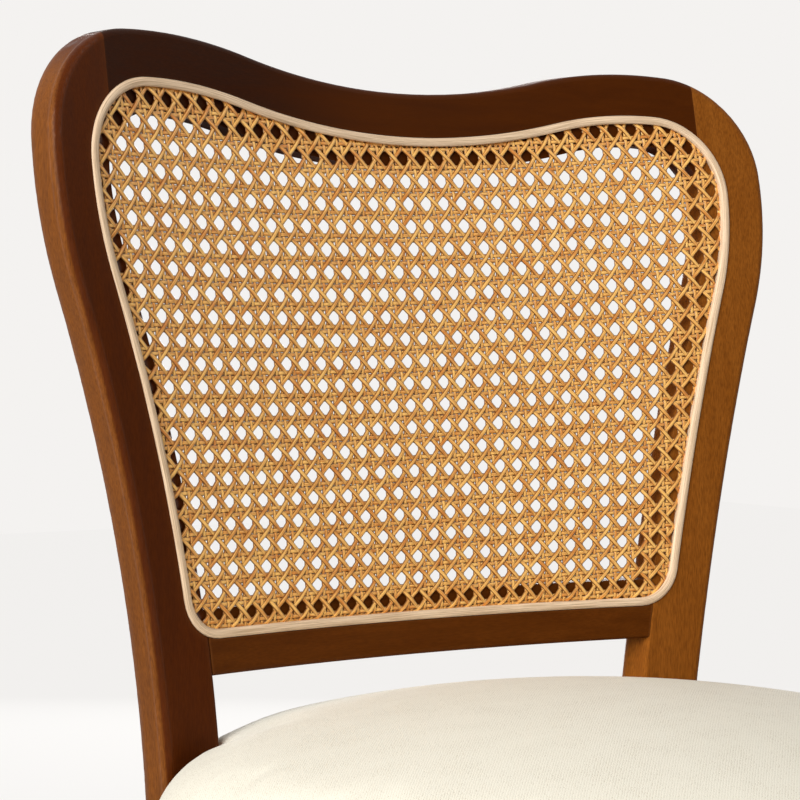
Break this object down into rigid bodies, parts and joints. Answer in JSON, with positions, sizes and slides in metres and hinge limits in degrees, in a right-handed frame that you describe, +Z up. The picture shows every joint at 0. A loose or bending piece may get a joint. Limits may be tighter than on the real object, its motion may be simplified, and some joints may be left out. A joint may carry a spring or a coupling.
{
  "type": "dining chair",
  "caption": "Dining chair with an hourglass wooden back holding a woven cane panel, a round padded fabric seat on a bent rail ring, tapered front legs and swept rear legs.",
  "frame": {"origin": "on the floor under the middle of the chair's footprint, which is also the axis of the round seat", "axes": "+Z up, -Y the way the sitter faces, +X to the right as seen from in front of the chair"},
  "size_m": [0.508, 0.4958, 0.84],
  "materials": {
    "frame_wood": "dark brown stained beech under satin lacquer",
    "block_wood": "bare sawn hardwood",
    "dowel_wood": "fluted bare beech",
    "plywood": "bare plywood",
    "cane": "natural honey-coloured rattan cane, slightly glossy on the bark side",
    "reed": "pale natural reed, matt",
    "seat_fabric": "ivory woven twill",
    "foam": "upholstery foam",
    "dust_cloth": "black non-woven dust cloth",
    "screw_steel": "zinc-plated steel",
    "glide_plastic": "dark brown moulded plastic on a steel nail"
  },
  "bodies": {
    "root": {"crest_rail": "frame_wood", "left_back_post": "frame_wood", "right_back_post": "frame_wood", "lower_back_rail": "frame_wood", "crest_dowels": "dowel_wood", "cane_panel": "cane", "cane_reed": "reed", "front_seat_rail": "frame_wood", "left_seat_rail": "frame_wood", "right_seat_rail": "frame_wood", "rear_seat_rail": "frame_wood", "left_front_leg": "frame_wood", "right_front_leg": "frame_wood", "left_front_corner_block": "block_wood", "right_front_corner_block": "block_wood", "left_rear_corner_block": "block_wood", "right_rear_corner_block": "block_wood", "corner_block_screws": "screw_steel", "seat_screws": "screw_steel", "leg_glides": "glide_plastic", "seat_board": "plywood", "seat_foam": "foam", "seat_cover": "seat_fabric", "dust_cover": "dust_cloth"}
  },
  "joints": []
}
